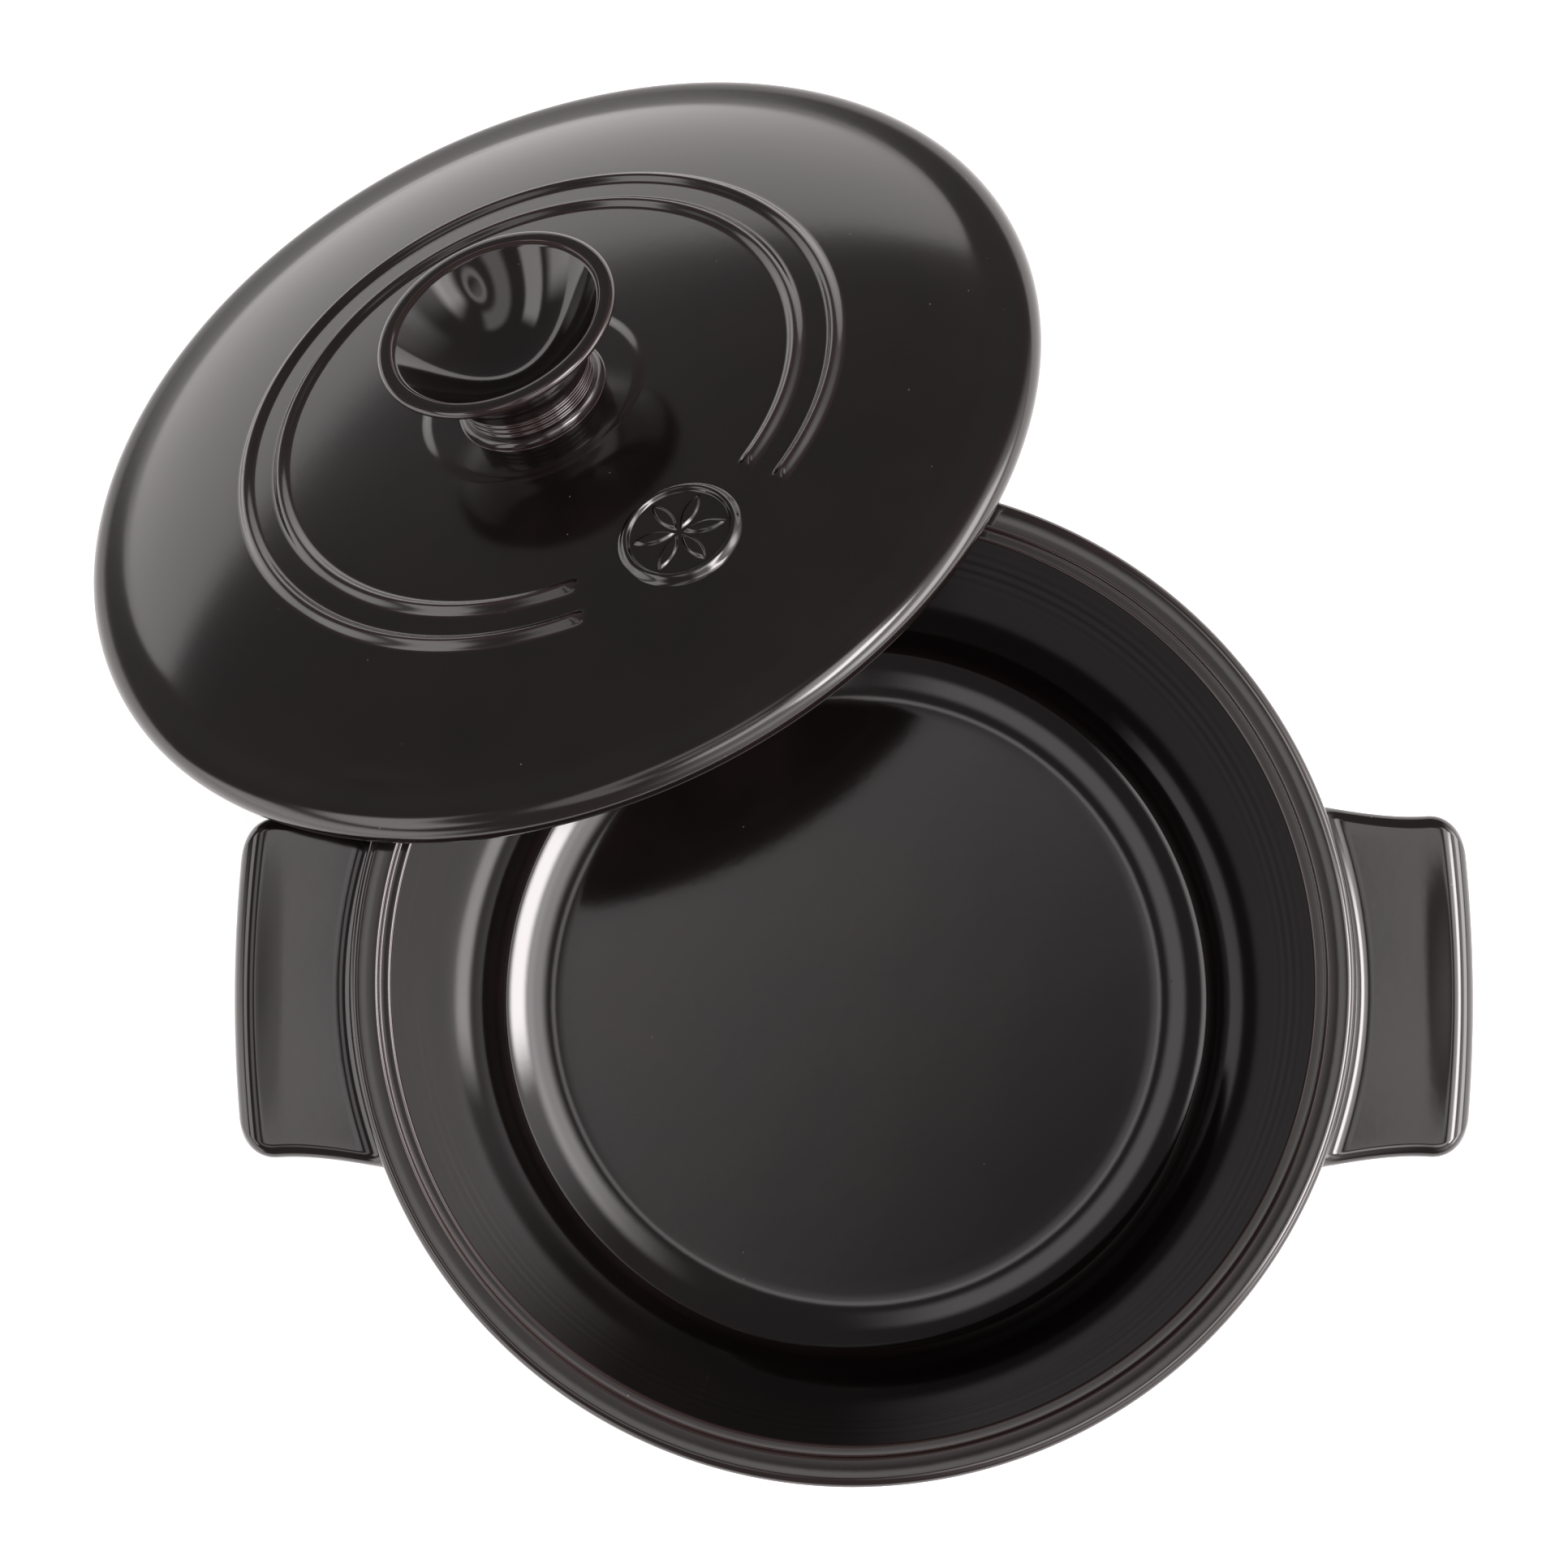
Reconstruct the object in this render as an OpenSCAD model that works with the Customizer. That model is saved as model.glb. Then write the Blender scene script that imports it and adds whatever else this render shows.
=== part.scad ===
// Round covered casserole dish in dark glazed stoneware, with its lid off.
// The lid leans on the rim at the back, its lower edge on the table.
// Origin: centre of the pot's base, on the table. +Z is up and the handles lie along X.

/* [Pot] */
// Outer diameter of the rim
rim_d = 250; // [220:1:320]
// Height of the rim above the table
pot_h = 127; // [105:1:160]
// Thickness of the side wall
wall_t = 7.5; // [6:0.5:11]
// Thickness of the floor
floor_t = 9; // [7:0.5:14]
// Slope of the walls from upright
wall_slope = 9.5; // [1:0.5:11]
// Radius of the rounded heel between wall and base
heel_r = 16; // [12:1:30]
// Radius of the corner inside, between wall and floor
well_r = 5; // [4:1:24]
// Radius of the floor's gentle rise before that corner
floor_rise_r = 34; // [20:1:50]
// Slope at which the rise meets the corner
floor_rise_slope = 26; // [5:1:35]

/* [Rim] */
// Radius of the rolled outer lip
lip_r = 2.5; // [2:0.25:3.5]
// Height of the slope under the lip
lip_under_h = 4; // [2:0.5:8]
// Width of the flat top of the rim
rim_flat_w = 4; // [3:0.5:7]
// Width of the seat ledge inside the rim
ledge_w = 3; // [2:0.5:5]
// Depth of the seat ledge below the rim
ledge_drop = 2; // [1:0.25:3]
// Radius of the small rounded corners of the rim and ledge
corner_r = 1; // [0.5:0.25:1.5]

/* [Handles] */
// How far each handle reaches beyond the rim
handle_len = 30.5; // [24:0.5:45]
// Width of each handle at its outer edge
handle_w = 86; // [60:1:110]
// How much wider each handle is at its root, in all
handle_flare = 5; // [0:0.5:12]
// How far each handle's top is below the rim
handle_drop = 12; // [10:0.5:20]
// Thickness of each handle at its outer edge
handle_t = 16; // [12:0.5:24]
// Height of each handle's root on the wall
handle_root_h = 36; // [26:1:50]
// Radius of the handles' corners in plan
handle_corner_r = 8; // [4:0.5:14]
// Radius of the handles' outer edge in section
handle_edge_r = 6; // [3:0.5:7]
// Bow of the outer edge between its corners
handle_bow = 2.5; // [0:0.5:6]
// Shift of both handles along Y from the pot's middle
handle_shift = -1; // [-3:0.5:3]
// Radius of the cove between wall and handle top
handle_cove_r = 7; // [3:0.5:7]

/* [Lid] */
// How far the lid's edge reaches past the rim
lid_overhang = 5; // [3:0.5:8]
// Thickness of the lid's rounded edge
edge_t = 10; // [7:0.5:12]
// Width of the brim outside the dome
brim_w = 12; // [10:1:18]
// Rise of the dome's foot above the flat brim
brim_rise = 0.2; // [0:0.1:2]
// Rise of the dome above the brim
dome_rise = 13; // [8:0.5:16]
// Thickness of the crown, over its flat ceiling
crown_t = 9; // [7:0.5:10]
// Thickness of the dome outside that ceiling
dome_t = 7; // [5.5:0.5:8]
// Depth of the locating flange below the brim
flange_h = 4; // [3:0.5:8]
// Thickness of the locating flange
flange_t = 4; // [3:0.5:7]
// Clearance between the flange and the pot's mouth, on the radius
flange_clearance = 1.5; // [0.8:0.1:3]

/* [Ridges] */
// Distance of the outer moulded ridge's crest inside the dome's foot
ridge_inset = 37.4; // [26:0.2:44]
// Distance between the two ridges
ridge_pitch = 10.2; // [8:0.2:12]
// Width of each ridge
ridge_w = 5; // [3:0.5:6]
// Height of each ridge
ridge_h = 1.6; // [0.8:0.1:2.5]
// Space left between the medallion and the ends of the ridges
ridge_gap_space = 15.5; // [10:0.5:22]
// Turn of the middle of that gap from the medallion
ridge_gap_turn = -1.5; // [-5:0.5:5]

/* [Medallion] */
// Diameter of the medallion
medal_d = 30; // [20:1:34]
// Thickness of the medallion at its raised border
medal_t = 3; // [2.2:0.1:4]
// Width of its raised border
medal_border_w = 1.8; // [1:0.1:3]
// Depth of its field below the border
medal_field_drop = 1.1; // [0.6:0.1:1.5]
// Distance of its centre inside the outer ridge's crest
medal_inset = 8.6; // [0:0.2:12]
// Number of petals in its rosette
medal_petals = 6; // [5:1:8]
// Width of each petal
petal_w = 3.6; // [2.5:0.1:4.5]
// Space round the petals, to the border and to the middle
petal_space = 1.2; // [0.8:0.1:2]
// How far the petals stand below the border
petal_drop = 0.3; // [0.1:0.1:0.6]

/* [Knob] */
// Outer diameter of the knob's lip
knob_d = 64; // [50:1:76]
// Height of the knob above the crown
knob_h = 27; // [23:0.5:36]
// Diameter of the knob's stem
stem_d = 36; // [30:1:42]
// Height of the knob's straight stem
stem_h = 8.6; // [6:0.2:11]
// How far the knob's foot spreads beyond its stem
foot_spread = 2; // [1:0.25:4]
// Width of the knob's rounded lip
knob_lip_w = 4; // [3:0.25:6]
// Depth of the knob's cup
cup_depth = 17; // [12:0.5:18]
// Height of the low boss under the knob
boss_h = 0.8; // [0.4:0.1:2]
// Width of the low boss beyond the knob's foot
boss_margin = 9; // [4:0.5:14]
// Number of fine grooves round the stem
grooves = 3; // [0:1:4]

/* [Leaning lid] */
// Tilt of the leaning lid
lean_tilt = 39.8; // [35:0.1:46]
// Compass angle that the lid leans towards, from +X
lean_dir = 118.4; // [100:0.1:140]
// Gap left between the leaning lid and the rim
lean_gap = 0.3; // [0.2:0.05:0.6]
// Turn of the medallion from the lid's raised side
medal_turn = 12; // [-40:1:40]

/* [Hidden] */
$fn = 144;

glaze = "#2b2528";

// Rim and mouth, from the outside in
rim_r = rim_d / 2;
rim_flat_out = rim_r - lip_r;
rim_flat_in = rim_flat_out - rim_flat_w;
mouth_r = rim_flat_in - corner_r - ledge_w;

// Walls: the neck is the wall's outer radius just under the rim
neck_r = mouth_r + wall_t;
shoulder_z = pot_h - 2 * lip_r;
neck_z = shoulder_z - lip_under_h;
heel_top_z = heel_r * (1 - sin(wall_slope));
heel_c = neck_r - (neck_z - heel_top_z) * tan(wall_slope) - heel_r * cos(wall_slope);

// Inside: the wall runs down to the corner, which meets the floor's rise
mouth_z = pot_h - ledge_drop - corner_r;
well_z = floor_t + floor_rise_r * (1 - cos(floor_rise_slope)) + well_r * cos(floor_rise_slope);
well_top_z = well_z - well_r * sin(wall_slope);
well_c = mouth_r - (mouth_z - well_top_z) * tan(wall_slope) - well_r * cos(wall_slope);
floor_r = well_c + (well_r - floor_rise_r) * sin(floor_rise_slope);

// Handles
handle_reach = rim_r + handle_len;
handle_z = pot_h - handle_drop;
handle_root_x = neck_r;
bow_r = (pow(handle_w / 2 - handle_corner_r, 2) + pow(handle_bow, 2)) / (2 * max(handle_bow, 0.01));

// Lid, in its own frame: z = 0 is the middle of the rounded edge
edge_r = edge_t / 2;
lid_r = rim_r + lid_overhang;
edge_c = lid_r - edge_r;
dome_r = lid_r - brim_w;
dome_z = edge_r + brim_rise;
flange_out_r = mouth_r - flange_clearance;
flange_in_r = flange_out_r - flange_t;
flange_z = -edge_r - flange_h;
crown_z = dome_z + dome_rise;
ceiling_z = crown_z - crown_t;
boss_z = crown_z + boss_h;

// Ridges and the medallion in their gap
ridge_outer_r = dome_r - ridge_inset;
medal_r = ridge_outer_r - medal_inset;
ridge_gap = 2 * asin((medal_d / 2 + ridge_gap_space) / ridge_outer_r);
medal_az = 180 + medal_turn;
medal_slope = atan(4 * dome_rise / dome_r * pow(medal_r / dome_r, 3));
medal_sink = medal_t / 2;

// The leaning lid: its edge rests on the table, its underside on the rolled lip. It starts where
// its flat ceiling meets the lip, and moves out until its flange clears the lip too.
lean_z = edge_c * sin(lean_tilt) + edge_r;
lean_flat = (rim_flat_out * sin(lean_tilt) + (pot_h - lip_r) * cos(lean_tilt) + lip_r + lean_gap
             - ceiling_z - lean_z * cos(lean_tilt)) / sin(lean_tilt);
lean_step = 0.1;
lean_out = lean_clear(lean_flat);

// Height of the dome's top at radius r: flat in the middle, steeper towards the brim
function dome_top(r) = dome_z + dome_rise * (1 - pow(r / dome_r, 4));

// Height of the underside: flat ceiling, then parallel to the dome
function ceiling(r) = min(ceiling_z, dome_top(r) - dome_t);

// Gap between the lid's underside and the lip, at angle a round the rim from the lean
function lip_gap(a, out) = let(
    x = rim_flat_out * cos(a) - out,
    z = pot_h - lip_r - lean_z,
    r = norm([x * cos(lean_tilt) - z * sin(lean_tilt), rim_flat_out * sin(a)]),
    h = x * sin(lean_tilt) + z * cos(lean_tilt),
    under = r < flange_in_r ? ceiling(r) : -edge_r,
    beside = max(flange_in_r + corner_r - r, r - flange_out_r + corner_r, 0),
    below = max(flange_z + corner_r - h, 0)
) min(under - h, norm([beside, below]) - corner_r) - lip_r;

// Distance out from the pot's axis at which the leaning lid is clear of the lip all round
function lean_clear(out) =
    min([for (a = [0:3:90]) lip_gap(a, out)]) > lean_gap - lean_step / 10 ? out : lean_clear(out + lean_step);

// Points of an arc about (x, y) from angle a to angle b
function arc(x, y, r, a, b, steps = 8) =
    [for (i = [0:steps]) [x + r * cos(a + (b - a) * i / steps), y + r * sin(a + (b - a) * i / steps)]];

module vessel_outline_outer() {
    polygon(concat(
        [[0, 0]],
        arc(heel_c, heel_r, heel_r, -90, -wall_slope, 12),
        [[neck_r, neck_z], [rim_r, shoulder_z]],
        arc(rim_flat_out, pot_h - lip_r, lip_r, 0, 90),
        [[0, pot_h]]
    ));
}

module vessel_outline_inner() {
    ledge_z = pot_h - ledge_drop;
    ledge_out = rim_flat_in - corner_r;
    polygon(concat(
        [[0, floor_t]],
        arc(floor_r, floor_t + floor_rise_r, floor_rise_r, -90, floor_rise_slope - 90, 6),
        arc(well_c, well_z, well_r, floor_rise_slope - 90, -wall_slope, 10),
        arc(mouth_r + corner_r, mouth_z, corner_r, 180, 90, 4),
        [[ledge_out, ledge_z]],
        arc(rim_flat_in, pot_h - corner_r, corner_r, 180, 90, 4),
        [[rim_flat_in, pot_h + 1], [0, pot_h + 1]]
    ));
}

module vessel() {
    color(glaze)
    rotate_extrude()
    difference() {
        vessel_outline_outer();
        vessel_outline_inner();
    }
}

// Plan of one handle, reaching along +X, with a bowed outer edge and round corners
module handle_plan() {
    corner_x = handle_reach - handle_bow - handle_corner_r;
    corner_y = handle_w / 2 - handle_corner_r;
    bow_a = asin(corner_y / bow_r);
    polygon(concat(
        [[0, -handle_w / 2 - handle_flare / 2], [handle_root_x, -handle_w / 2 - handle_flare / 2]],
        arc(corner_x, -corner_y, handle_corner_r, -90, -bow_a),
        arc(handle_reach - bow_r, 0, bow_r, -bow_a, bow_a),
        arc(corner_x, corner_y, handle_corner_r, bow_a, 90),
        [[handle_root_x, handle_w / 2 + handle_flare / 2], [0, handle_w / 2 + handle_flare / 2]]
    ));
}

// Side view of one handle: coved top, rounded nose, hollowed underside
module handle_side() {
    nose_z = handle_z - handle_t;
    root_z = handle_z - handle_root_h;
    nose_x = handle_reach - handle_edge_r;
    hollow_x = nose_x - handle_root_x;
    hollow_z = nose_z - root_z;
    polygon(concat(
        [[0, root_z], [handle_root_x, root_z]],
        [for (a = [90:-15:0]) [handle_root_x + hollow_x * (1 - sin(a)), nose_z - hollow_z * (1 - cos(a))]],
        arc(nose_x, nose_z + handle_edge_r, handle_edge_r, -90, 0),
        arc(nose_x, handle_z - handle_edge_r, handle_edge_r, 0, 90),
        arc(handle_root_x + handle_cove_r, handle_z + handle_cove_r, handle_cove_r, 270, 180),
        [[0, handle_z + handle_cove_r]]
    ));
}

module handle() {
    color(glaze)
    difference() {
        translate([0, handle_shift, 0])
        intersection() {
            translate([0, 0, handle_z - 2 * handle_root_h])
                linear_extrude(3 * handle_root_h) handle_plan();
            rotate([90, 0, 0])
                linear_extrude(2 * handle_w, center = true) handle_side();
        }
        rotate_extrude() vessel_outline_outer();
    }
}

module handle_right() {
    handle();
}

module handle_left() {
    mirror([1, 0, 0]) handle();
}

// Places what is drawn in the lid's own frame where the lid leans
module leaning() {
    rotate([0, 0, lean_dir])
        translate([lean_out, 0, lean_z])
        rotate([0, lean_tilt, 0])
        children();
}

module lid_section() {
    dome_steps = 12;
    ceiling_steps = 6;
    ceiling_end = 0.6;
    boss_r = stem_d / 2 + foot_spread + boss_margin;
    polygon(concat(
        [[0, boss_z], [boss_r - boss_h, boss_z]],
        [for (i = [0:dome_steps]) let (r = boss_r + (dome_r - boss_r) * i / dome_steps) [r, dome_top(r)]],
        arc(edge_c, 0, edge_r, 90, -90, 12),
        [[flange_out_r, -edge_r]],
        arc(flange_out_r - corner_r, flange_z + corner_r, corner_r, 0, -90, 4),
        arc(flange_in_r + corner_r, flange_z + corner_r, corner_r, -90, -180, 4),
        [for (i = [0:ceiling_steps]) let (r = flange_in_r * (1 - (1 - ceiling_end) * i / ceiling_steps))
            [r, ceiling(r)]],
        [[0, ceiling_z]]
    ));
}

module ridge(r) {
    foot = ridge_w / 2;
    rotate([0, 0, medal_az + ridge_gap_turn + ridge_gap / 2])
    rotate_extrude(angle = 360 - ridge_gap)
    polygon(concat(
        [[r - foot, dome_top(r - foot) - 1]],
        [for (i = [-3:3]) let (x = r + foot * i / 3) [x, dome_top(x) + ridge_h * (1 + cos(60 * i)) / 2 - 0.01]],
        [[r + foot, dome_top(r + foot) - 1]]
    ));
}

// Places what is drawn flat on the dome where the medallion sits
module at_medallion() {
    rotate([0, 0, medal_az])
        translate([medal_r, 0, dome_top(medal_r)])
        rotate([0, medal_slope, 0])
        translate([0, 0, -medal_sink])
        children();
}

module lid_plate() {
    color(glaze)
    leaning()
    difference() {
        union() {
            rotate_extrude() lid_section();
            ridge(ridge_outer_r);
            ridge(ridge_outer_r - ridge_pitch);
        }
        at_medallion() cylinder(d = medal_d, h = 2 * medal_t);
    }
}

// A raised border round a sunk field with a plain rosette of petals
module lid_medallion() {
    field_z = medal_t - medal_field_drop;
    field_r = medal_d / 2 - medal_border_w;
    petal_h = medal_t - petal_drop;
    color(glaze)
    leaning()
    at_medallion() {
        difference() {
            cylinder(d = medal_d, h = medal_t);
            translate([0, 0, field_z]) cylinder(r = field_r, h = medal_t);
        }
        for (i = [0:medal_petals - 1])
            rotate([0, 0, 360 / medal_petals * i])
            linear_extrude(petal_h)
            translate([field_r / 2, 0])
            petal(field_r - 2 * petal_space);
    }
}

// A pointed petal of length l along X, where two circles cross
module petal(l) {
    r = (pow(l, 2) + pow(petal_w, 2)) / (4 * petal_w);
    intersection() {
        translate([0, r - petal_w / 2]) circle(r);
        translate([0, petal_w / 2 - r]) circle(r);
    }
}

// A goblet-shaped knob: grooved stem, flared cup with a rounded lip, hollow inside
module lid_knob() {
    lip_half = knob_lip_w / 2;
    lip_c = knob_h - lip_half;
    lip_x = knob_d / 2 - lip_half;
    cup_r = lip_x - lip_half;
    cup_z = knob_h - cup_depth;
    stem_r = stem_d / 2;
    groove_pitch = (stem_h - foot_spread) / (grooves + 1);
    groove_r = 0.5;
    color(glaze)
    leaning()
    translate([0, 0, boss_z])
    rotate_extrude()
    difference() {
        polygon(concat(
            [[0, 0]],
            arc(stem_r + foot_spread, foot_spread, foot_spread, 270, 180, 4),
            [for (i = [0:7]) [stem_r + (lip_x - stem_r) * pow(i / 8, 1.6), stem_h + (lip_c - stem_h) * i / 8]],
            arc(lip_x, lip_c, lip_half, -30, 90),
            [[0, knob_h]]
        ));
        polygon(concat(
            [for (i = [0:10]) [cup_r * i / 10, cup_z + cup_depth * pow(i / 10, 2)]],
            [[cup_r, knob_h + 1], [0, knob_h + 1]]
        ));
        for (i = [1:1:grooves])
            translate([stem_r + groove_r / 3, foot_spread + groove_pitch * i]) circle(r = groove_r, $fn = 24);
    }
}

vessel();
handle_left();
handle_right();
lid_plate();
lid_knob();
lid_medallion();
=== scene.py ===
"""Round covered casserole dish in dark glazed stoneware, its lid leaning on the rim.

Every piece is a surface worked out with numpy, in metres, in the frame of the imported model:
the origin is the centre of the pot's base, +Z is up, and the two handles lie along X.
"""

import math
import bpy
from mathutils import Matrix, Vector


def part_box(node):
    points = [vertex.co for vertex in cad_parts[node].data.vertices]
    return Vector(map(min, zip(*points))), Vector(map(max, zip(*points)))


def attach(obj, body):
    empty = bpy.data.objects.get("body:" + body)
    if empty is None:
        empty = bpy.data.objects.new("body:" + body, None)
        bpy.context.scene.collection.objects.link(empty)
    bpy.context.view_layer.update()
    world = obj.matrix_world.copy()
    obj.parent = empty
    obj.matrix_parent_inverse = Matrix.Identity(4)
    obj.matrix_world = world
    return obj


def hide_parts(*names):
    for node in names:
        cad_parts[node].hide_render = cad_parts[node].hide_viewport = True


bl_info = {
    "name": "Covered casserole dish",
    "version": (1, 0, 0),
    "blender": (4, 5, 0),
    "location": "View3D > Sidebar > Casserole",
    "description": "Builds a glazed stoneware casserole, its leaning lid and a small studio",
    "category": "Add Mesh",
}

import bpy
import numpy as np
from bpy.props import FloatProperty, FloatVectorProperty, IntProperty, PointerProperty
from bpy.types import Operator, Panel, PropertyGroup
from mathutils import Matrix, Vector

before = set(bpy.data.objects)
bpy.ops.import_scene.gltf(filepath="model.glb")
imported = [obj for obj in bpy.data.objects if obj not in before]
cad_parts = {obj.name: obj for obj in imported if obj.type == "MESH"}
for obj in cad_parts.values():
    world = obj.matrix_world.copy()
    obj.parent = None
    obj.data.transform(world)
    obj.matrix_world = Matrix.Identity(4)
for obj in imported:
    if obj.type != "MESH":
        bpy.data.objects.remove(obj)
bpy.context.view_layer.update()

MM = 0.001

# Width of the camera's film in millimetres, and how far the camera sees in metres.
FILM_WIDTH = 36
FAR = 20

# Turning rings left in the pot's upper wall, and points along each.
RING_COUNT = 6
RING_POINTS = 16

# Points round the pot, the knob and the medallion.
POT_TURNS = 344
KNOB_TURNS = 216
MEDALLION_TURNS = 240

# The longest step between the points of the pot's and the knob's sections.
POT_STEP = 4 * MM
KNOB_STEP = 3 * MM

# Along a handle, as shares of its reach: where the flare ends and where the waist lies.
FLARE_END = 0.7
WAIST_AT = 0.45

# The dish in a handle's top: its width as a share of the handle's, its distance from the nose
# as a share of the rounding there, and how far up the half height it begins.
DISH_WIDTH = 1.04
DISH_END = 1.4
DISH_START = 0.2

# Degrees on both sides of the ridges' gap in which the lid's points lie close.
GAP_NEAR = 32

# Sizes in millimetres of the glaze's brown clouds, undulation, orange peel and grain.
CLOUD_ACROSS = 25
WAVE_ACROSS = 28
PEEL_ACROSS = 3
GRAIN_ACROSS = 0.3

# Specks and pinholes in the glaze: spacing, radius and depth in millimetres, and the shares of
# the cells that have one.
SPECK_SPACE = 5
SPECK_RADIUS = 0.14
PINHOLE_DEPTH = 0.06
SPECK_SHARE = 0.12
PINHOLE_SHARE = 0.05

# Glaze on an edge of this radius is as thin as it gets.
THINNEST_RADIUS = 0.4 * MM

# The studio's softboxes, as azimuth from +X and elevation, half width, half height and soft
# edges across and up, all in degrees, and radiance.
SOFTBOXES = (
    (-9, 51, 16, 4, 14, 6, 22),
    (-15, 67, 50, 4, 30, 8, 5.0),
    (-18, 42, 40, 20, 30, 6, 1.6),
    (-4, 14, 22, 5, 18, 9, 8),
    (-8, 16, 40, 12, 35, 14, 1.8),
    (-172, 34, 24, 7, 14, 4, 3.4),
    (178, 66, 70, 4, 20, 6, 1.6),
    (-150, 4, 26, 8, 16, 10, 3.0),
)

# The ceiling: the direction of its dark middle, the distances from it at which the bright ring
# begins and ends, the way in which the middle grows brighter, and the stretch in which it does.
DARK_MIDDLE = (-0.012, 0.03, 1)
DARK_EDGE = (0.08, 0.105)
RING_EDGE = (0.13, 0.17)
BRIGHTER_WAY = (-0.75, 0.66, 0)
MIDDLE_TILT = (-0.02, 0.08)


# Property helpers ---------------------------------------------------------------------------


def linear(hex_colour):
    """Scene-linear RGB of an sRGB colour written as #rrggbb."""
    srgb = np.array([int(hex_colour[i : i + 2], 16) for i in (1, 3, 5)]) / 255
    low, high = srgb / 12.92, ((srgb + 0.055) / 1.055) ** 2.4
    return tuple(float(v) for v in np.where(srgb <= 0.04045, low, high))


def length(name, description, millimetres):
    """A length, given in millimetres and kept in metres."""
    return FloatProperty(
        name=name, description=description, default=millimetres * MM, precision=5, unit="LENGTH"
    )


def angle(name, description, degrees):
    """An angle, given in degrees and kept in radians."""
    return FloatProperty(
        name=name, description=description, default=math.radians(degrees), subtype="ANGLE"
    )


def number(name, description, value):
    """A plain number."""
    return FloatProperty(name=name, description=description, default=value)


def colour(name, description, hex_colour):
    """A colour, given as an sRGB hex value and kept linear."""
    return FloatVectorProperty(
        name=name, description=description, default=linear(hex_colour), size=3, subtype="COLOR"
    )


VESSEL_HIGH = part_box("vessel")[1]
HANDLE_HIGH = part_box("handle_right")[1]


# Sizes and colours --------------------------------------------------------------------------


class PotSizes(PropertyGroup):
    """Sizes of the pot, from the frame where it has them."""

    rim_d: length("Rim diameter", "Outer diameter of the rim", VESSEL_HIGH.x * 2 / MM)
    height: length("Height", "Height of the rim above the table", VESSEL_HIGH.z / MM)
    wall: length("Wall", "Thickness of the side wall", 7.5)
    floor: length("Floor", "Thickness of the floor", 9)
    slope: angle("Wall slope", "Slope of the walls from upright", 9.5)
    heel_r: length("Heel radius", "Radius of the heel between wall and base", 16)
    well_r: length("Well radius", "Radius of the corner inside, between wall and floor", 5)
    rise_r: length("Rise radius", "Radius of the floor's gentle rise before that corner", 34)
    rise_slope: angle("Rise slope", "Slope at which the rise meets the corner", 26)
    ring_pitch: length("Ring pitch", "Height of each turning ring left in the upper wall", 8)
    ring_depth: length("Ring depth", "Depth of the turning rings", 0.05)
    lip_r: length("Lip radius", "Radius of the rolled outer lip", 2.5)
    lip_under: length("Slope under the lip", "Height of the slope under the lip", 4)
    rim_flat: length("Rim flat", "Width of the flat top of the rim", 4)
    ledge: length("Seat ledge", "Width of the seat ledge inside the rim", 3)
    ledge_drop: length("Seat depth", "Depth of the seat ledge below the rim", 2)
    corner_r: length("Corner radius", "Radius of the small corners of rim and ledge", 1)
    foot_w: length("Foot width", "Width of the foot ring", 12)
    foot_slope: length("Foot slope", "Width of the slope from the foot ring to its hollow", 2)
    foot_recess: length("Foot recess", "Depth of the hollow inside the foot ring", 0.8)
    bare_h: length("Bare height", "Height up to which the foot is wiped clean of glaze", 1.2)


class HandleSizes(PropertyGroup):
    """Sizes of the two lug handles."""

    reach: length("Reach", "Distance of the outer edge from the pot's axis", HANDLE_HIGH.x / MM)
    width: length("Width", "Width of each handle between its round corners", 86)
    flare: length("Flare", "How much wider each handle is at its root, in all", 5)
    drop: length("Drop", "How far each handle's top is below the rim", 12)
    thick: length("Thickness", "Thickness of each handle at its outer edge", 16)
    root_h: length("Root height", "Height of each handle's root on the wall", 36)
    corner_r: length("Corner radius", "Radius of the corners seen from above", 9)
    edge_r: length("Edge radius", "Radius of the outer edge seen from the side", 6)
    side_r: length("Side radius", "Radius of the edges along the sides", 3.4)
    bow: length("Bow", "Bow of the outer edge between its corners", 2.5)
    cove_r: length("Cove radius", "Radius of the cove between wall and handle top", 7)
    dish: length("Dish", "How far the middle of the top is sunk", 0.5)
    shift: length("Shift", "Shift of both handles along Y from the pot's middle", -1)
    waist: length("Waist", "How far each side is drawn in half-way out", 0.7)
    root_spread: length("Root spread", "How far from the wall each side starts to spread", 5)
    root_out: length("Root width", "How much each side has spread at the wall", 4)
    root_in: length("Root depth", "How far each handle reaches into the wall", 3)


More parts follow.
